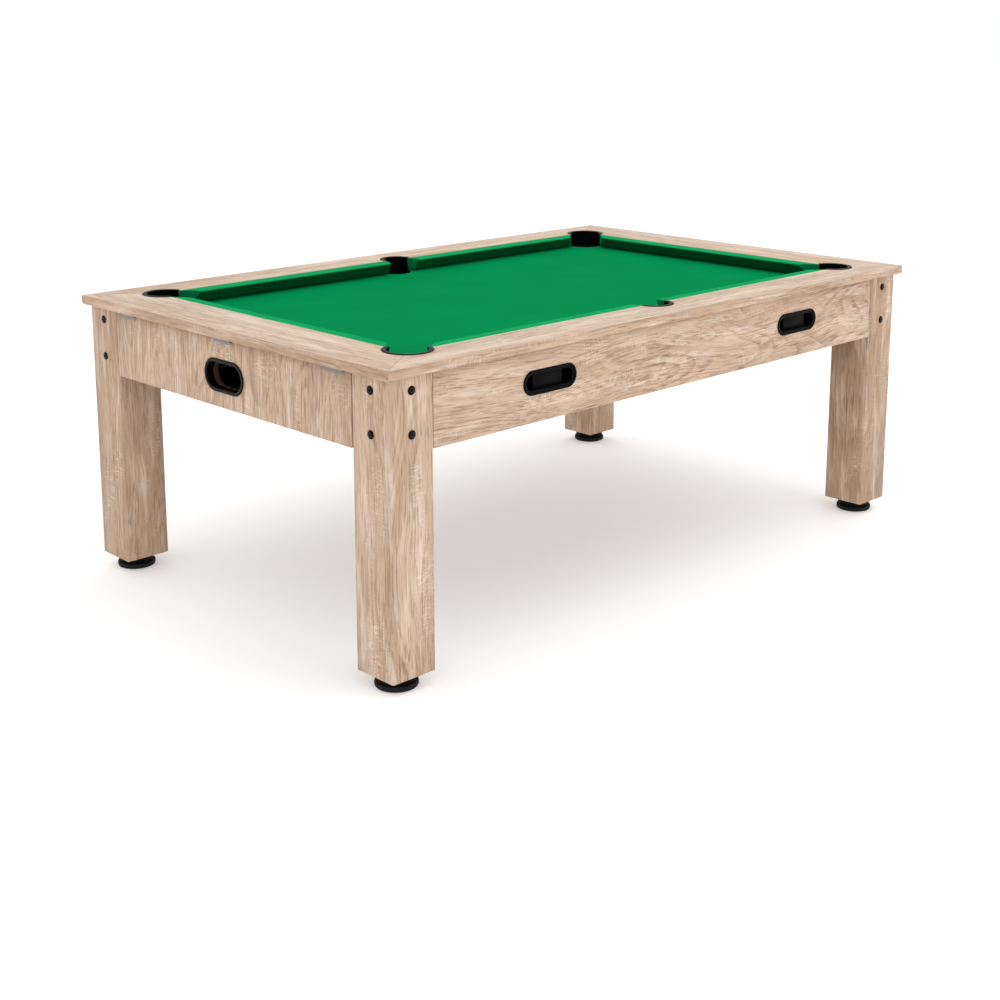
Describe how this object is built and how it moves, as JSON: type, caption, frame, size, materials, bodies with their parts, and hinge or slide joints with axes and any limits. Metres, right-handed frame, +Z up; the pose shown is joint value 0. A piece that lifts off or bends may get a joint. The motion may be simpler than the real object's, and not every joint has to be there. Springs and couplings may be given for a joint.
{
  "type": "pool table",
  "caption": "Home pool table with pale oak laminate frame, green cloth, drop pockets, gully ball return behind a hinged end panel and screw-adjusted levelling feet.",
  "frame": {"origin": "on the floor, under the middle of the table", "axes": "+X along the length, away from the ball return end; +Y across the table; +Z up"},
  "size_m": [2.13, 1.34, 0.802],
  "materials": {
    "oak_rail": "pale oak woodgrain laminate on board",
    "oak_panel": "pale oak woodgrain laminate on board",
    "board_core": "raw fibreboard",
    "green_cloth": "napped wool blend cloth",
    "black_bolts": "black oxide, satin",
    "zinc_steel": "zinc plated",
    "sole_rubber": "moulded, satin",
    "black_plastic": "moulded, satin"
  },
  "bodies": {
    "root": {"side_rail_front": "oak_rail", "side_rail_back": "oak_rail", "end_rail_left": "oak_rail", "end_rail_right": "oak_rail", "apron_front": "oak_panel", "apron_back": "oak_panel", "end_panel_right": "oak_panel", "inner_board_left": "board_core", "inner_board_right": "board_core", "leg_front_left": "oak_panel", "leg_front_right": "oak_panel", "leg_back_left": "oak_panel", "leg_back_right": "oak_panel", "leg_bolts": "black_bolts", "bolt_inserts": "zinc_steel", "corner_blocks": "board_core", "cross_webs": "board_core", "seam_batten": "board_core", "bed_board_left": "board_core", "bed_board_right": "board_core", "bed_cloth": "green_cloth", "cushion_backers": "board_core", "cushion_front_left": "green_cloth", "cushion_front_right": "green_cloth", "cushion_back_left": "green_cloth", "cushion_back_right": "green_cloth", "cushion_left": "green_cloth", "cushion_right": "green_cloth", "pocket_front_left": "black_plastic", "pocket_front_middle": "black_plastic", "pocket_front_right": "black_plastic", "pocket_back_left": "black_plastic", "pocket_back_middle": "black_plastic", "pocket_back_right": "black_plastic", "side_gullies": "black_plastic", "end_gullies": "black_plastic", "ball_tray": "black_plastic", "gully_straps": "zinc_steel", "grip_front_left": "black_plastic", "grip_front_right": "black_plastic", "grip_back_left": "black_plastic", "grip_back_right": "black_plastic", "hinge_rail_leaves": "zinc_steel", "hinge_pins": "zinc_steel", "rail_leaf_screws": "zinc_steel", "catch_magnets": "black_plastic", "foot_inserts": "zinc_steel"},
    "flap": {"end_flap": "oak_panel", "return_bezel": "black_plastic", "hinge_flap_leaves": "zinc_steel", "flap_leaf_screws": "zinc_steel", "catch_plates": "zinc_steel"},
    "foot_front_left": {"foot_sole_front_left": "sole_rubber"},
    "wheel_front_left": {"foot_wheel_front_left": "black_plastic"},
    "foot_front_right": {"foot_sole_front_right": "sole_rubber"},
    "wheel_front_right": {"foot_wheel_front_right": "black_plastic"},
    "foot_back_left": {"foot_sole_back_left": "sole_rubber"},
    "wheel_back_left": {"foot_wheel_back_left": "black_plastic"},
    "foot_back_right": {"foot_sole_back_right": "sole_rubber"},
    "wheel_back_right": {"foot_wheel_back_right": "black_plastic"}
  },
  "joints": [
    {"name": "flap_hinge", "type": "hinge", "parent": "root", "child": "flap", "pos_m": [-1.051, 0, 0.7708], "axis": [0, 1, 0], "range_deg": [0, 110]},
    {"name": "foot_height_front_left", "type": "slide", "parent": "root", "child": "foot_front_left", "axis": [0, 0, -1], "range_m": [0, 0.012]},
    {"name": "wheel_turn_front_left", "type": "hinge", "parent": "foot_front_left", "child": "wheel_front_left", "pos_m": [-0.98, -0.585, 0.02], "axis": [0, 0, -1], "range_deg": [0, 2470]},
    {"name": "foot_height_front_right", "type": "slide", "parent": "root", "child": "foot_front_right", "axis": [0, 0, -1], "range_m": [0, 0.012]},
    {"name": "wheel_turn_front_right", "type": "hinge", "parent": "foot_front_right", "child": "wheel_front_right", "pos_m": [0.98, -0.585, 0.02], "axis": [0, 0, -1], "range_deg": [0, 2470]},
    {"name": "foot_height_back_left", "type": "slide", "parent": "root", "child": "foot_back_left", "axis": [0, 0, -1], "range_m": [0, 0.012]},
    {"name": "wheel_turn_back_left", "type": "hinge", "parent": "foot_back_left", "child": "wheel_back_left", "pos_m": [-0.98, 0.585, 0.02], "axis": [0, 0, -1], "range_deg": [0, 2470]},
    {"name": "foot_height_back_right", "type": "slide", "parent": "root", "child": "foot_back_right", "axis": [0, 0, -1], "range_m": [0, 0.012]},
    {"name": "wheel_turn_back_right", "type": "hinge", "parent": "foot_back_right", "child": "wheel_back_right", "pos_m": [0.98, 0.585, 0.02], "axis": [0, 0, -1], "range_deg": [0, 2470]}
  ],
  "couplings": [
    {"joint": "wheel_turn_front_left", "follows": "foot_height_front_left", "rad_per_m": 3590.4},
    {"joint": "wheel_turn_front_right", "follows": "foot_height_front_right", "rad_per_m": 3590.4},
    {"joint": "wheel_turn_back_left", "follows": "foot_height_back_left", "rad_per_m": 3590.4},
    {"joint": "wheel_turn_back_right", "follows": "foot_height_back_right", "rad_per_m": 3590.4}
  ]
}
